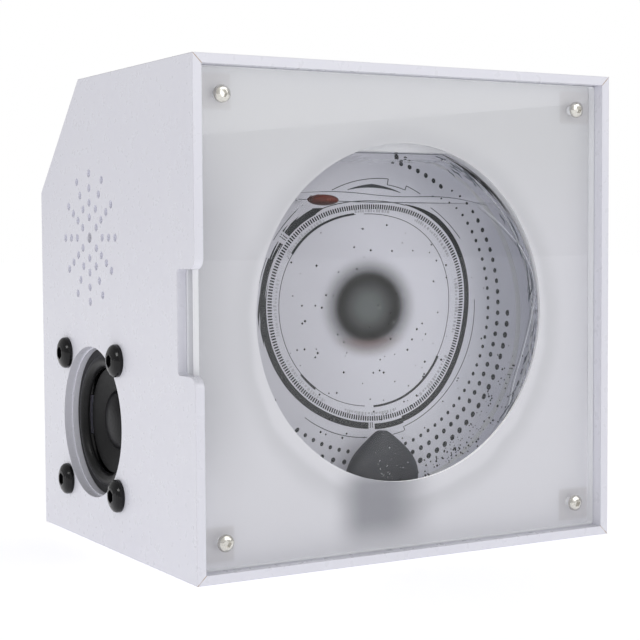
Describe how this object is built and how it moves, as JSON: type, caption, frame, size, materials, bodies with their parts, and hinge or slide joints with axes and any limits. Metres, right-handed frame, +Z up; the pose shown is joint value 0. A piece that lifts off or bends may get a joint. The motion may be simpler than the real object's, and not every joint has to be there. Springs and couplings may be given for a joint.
{
  "type": "washer-shaped desktop speaker",
  "caption": "White acrylic cabinet speaker shaped like a front-loading mini washer, with a round window onto a flask of magnetic liquid, side drivers, and rear controls.",
  "frame": {"origin": "on the resting plane of the rubber pads, under the middle of the whole, from the front edge to the rear switch", "axes": "+X to the right seen from the front, +Y towards the rear panel, +Z up; the window faces -Y"},
  "size_m": [0.166, 0.1328, 0.1612],
  "materials": {
    "white_acrylic": "polished cast sheet",
    "milky_acrylic": "translucent sheet",
    "frosted_mask": "frosted sheet",
    "clear_acrylic": "clear polished sheet",
    "nickel_steel": "nickel plated",
    "flask_glass": "clear glass",
    "clear_liquid": "clear carrier liquid",
    "ferrofluid": "glossy dark magnetic liquid",
    "black_plastic": "moulded",
    "print_plate": "white diffuser with a grey print",
    "circuit_board": "solder mask",
    "led_plastic": "moulded",
    "brass": "turned",
    "zinc_steel": "zinc plated and ferrite",
    "copper_wire": "enamelled copper windings",
    "aluminium": "satin",
    "black_steel": "black oxide",
    "black_rubber": "soft moulded",
    "spider_cloth": "resin-treated cloth",
    "cone_paper": "coated cone",
    "felt": "thin felt",
    "battery_wrap": "shrink wrap",
    "white_plastic": "moulded"
  },
  "bodies": {
    "cabinet": {"left_panel": "white_acrylic", "right_panel": "white_acrylic", "top_panel": "white_acrylic", "bottom_panel": "white_acrylic", "slope_panel": "white_acrylic", "rear_panel": "white_acrylic", "front_blocks": "milky_acrylic", "rear_blocks": "milky_acrylic", "front_panel": "clear_acrylic", "window_mask": "frosted_mask", "panel_screws": "nickel_steel", "flask": "flask_glass", "carrier_liquid": "clear_liquid", "ferrofluid": "ferrofluid", "flask_cap": "black_plastic", "front_flask_frame": "milky_acrylic", "rear_flask_frame": "clear_acrylic", "printed_plate": "print_plate", "led_board": "circuit_board", "leds": "led_plastic", "led_standoffs": "brass", "led_screws": "nickel_steel", "magnet_shell": "zinc_steel", "magnet_coil": "copper_wire", "magnet_core": "zinc_steel", "magnet_bridge": "aluminium", "magnet_screw": "nickel_steel", "left_speaker_ring": "white_acrylic", "left_speaker_frame": "black_steel", "left_speaker_motor": "zinc_steel", "left_speaker_surround": "black_rubber", "left_speaker_spider": "spider_cloth", "right_speaker_ring": "white_acrylic", "right_speaker_frame": "black_steel", "right_speaker_motor": "zinc_steel", "right_speaker_surround": "black_rubber", "right_speaker_spider": "spider_cloth", "speaker_screws": "black_steel", "speaker_nuts": "black_steel", "vent_felts": "felt", "microphone": "nickel_steel", "amp_board": "circuit_board", "amp_standoffs": "led_plastic", "battery_cell": "battery_wrap", "battery_holder": "black_plastic", "usb_socket": "nickel_steel", "power_switch": "black_plastic", "volume_pot": "aluminium", "button_switches": "nickel_steel", "foot_pads": "black_rubber"},
    "left_cone": {"left_speaker_cone": "cone_paper", "left_dust_cap": "cone_paper", "left_voice_coil": "copper_wire"},
    "right_cone": {"right_speaker_cone": "cone_paper", "right_dust_cap": "cone_paper", "right_voice_coil": "copper_wire"},
    "rocker": {"power_rocker": "black_plastic"},
    "knob": {"volume_knob": "white_plastic"},
    "mode_cap": {"mode_button": "white_plastic"},
    "pair_cap": {"pair_button": "white_plastic"}
  },
  "joints": [
    {"name": "left_cone_travel", "type": "slide", "parent": "cabinet", "child": "left_cone", "axis": [-1, 0, 0], "range_m": [-0.0015, 0.0015], "stiffness_N_per_m": 900, "deforming": ["left_speaker_surround", "left_speaker_spider"]},
    {"name": "right_cone_travel", "type": "slide", "parent": "cabinet", "child": "right_cone", "axis": [1, 0, 0], "range_m": [-0.0015, 0.0015], "stiffness_N_per_m": 900, "deforming": ["right_speaker_surround", "right_speaker_spider"]},
    {"name": "power_rock", "type": "hinge", "parent": "cabinet", "child": "rocker", "pos_m": [0.052, 0.062, 0.0612], "axis": [-1, 0, 0], "range_deg": [0, 13.4]},
    {"name": "volume_turn", "type": "hinge", "parent": "cabinet", "child": "knob", "pos_m": [0, 0.04375, 0.1421], "axis": [0, 0.7117, 0.7024], "range_deg": [-150, 150]},
    {"name": "mode_press", "type": "slide", "parent": "cabinet", "child": "mode_cap", "axis": [0, -0.7117, -0.7024], "range_m": [0, 0.0012], "stiffness_N_per_m": 900},
    {"name": "pair_press", "type": "slide", "parent": "cabinet", "child": "pair_cap", "axis": [0, -0.7117, -0.7024], "range_m": [0, 0.0012], "stiffness_N_per_m": 900}
  ]
}
